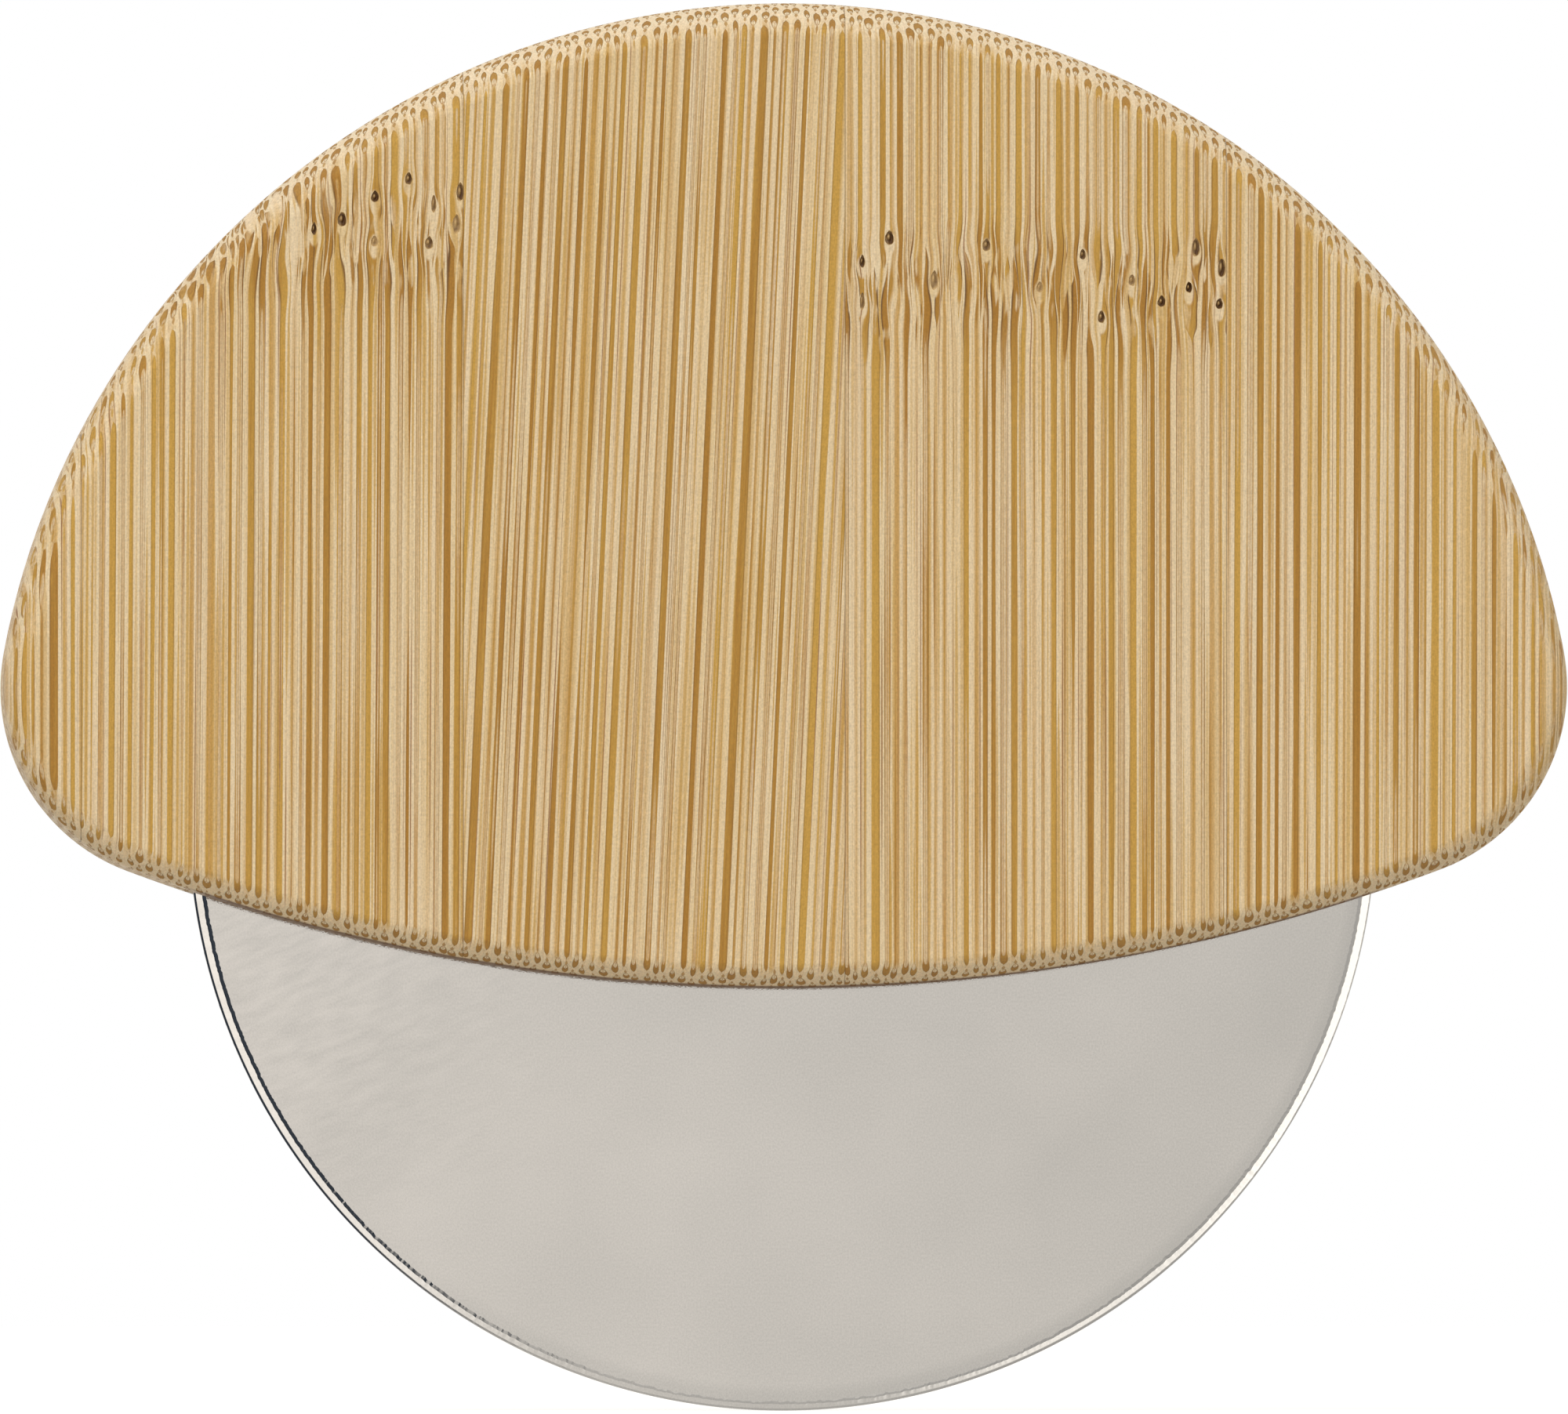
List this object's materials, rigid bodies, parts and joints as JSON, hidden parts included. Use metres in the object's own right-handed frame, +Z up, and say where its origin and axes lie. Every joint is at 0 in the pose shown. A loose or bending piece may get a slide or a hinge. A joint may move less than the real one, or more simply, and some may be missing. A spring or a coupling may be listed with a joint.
{
  "type": "pizza cutter wheel",
  "caption": "Palm-grip pizza cutter: a steel wheel turning in a slot of a half-moon handle glued up from bamboo slats.",
  "frame": {"origin": "lowest point of the cutting wheel, in the middle of the handle's thickness", "axes": "+Z up from the cutting edge through the handle, +X to the right along the handle's width, +Y from the front face to the back face, along the wheel's axle"},
  "size_m": [0.1, 0.016, 0.09],
  "materials": {
    "bamboo_board": "sanded and oiled bamboo, long grain upright",
    "bamboo_core": "sanded bamboo, long grain level",
    "dowel_wood": "plain turned wood",
    "pin_steel": "ground steel",
    "wheel_steel": "satin rolled stainless steel with a ground bevel",
    "nylon": "natural nylon"
  },
  "bodies": {
    "handle": {"front_slat_1": "bamboo_board", "front_slat_2": "bamboo_board", "front_slat_3": "bamboo_board", "front_slat_4": "bamboo_board", "front_slat_5": "bamboo_board", "back_slat_1": "bamboo_board", "back_slat_2": "bamboo_board", "back_slat_3": "bamboo_board", "back_slat_4": "bamboo_board", "back_slat_5": "bamboo_board", "core_lower_left": "bamboo_core", "core_lower_right": "bamboo_core", "core_middle_left": "bamboo_core", "core_middle_right": "bamboo_core", "core_top": "bamboo_core", "locating_dowels": "dowel_wood", "axle_pin": "pin_steel"},
    "wheel": {"cutting_wheel": "wheel_steel", "hub_bush": "nylon", "thrust_washer": "nylon"}
  },
  "joints": [
    {"name": "wheel_spin", "type": "hinge", "parent": "handle", "child": "wheel", "pos_m": [0, 0, 0.0381], "axis": [0, 1, 0], "continuous": true}
  ]
}
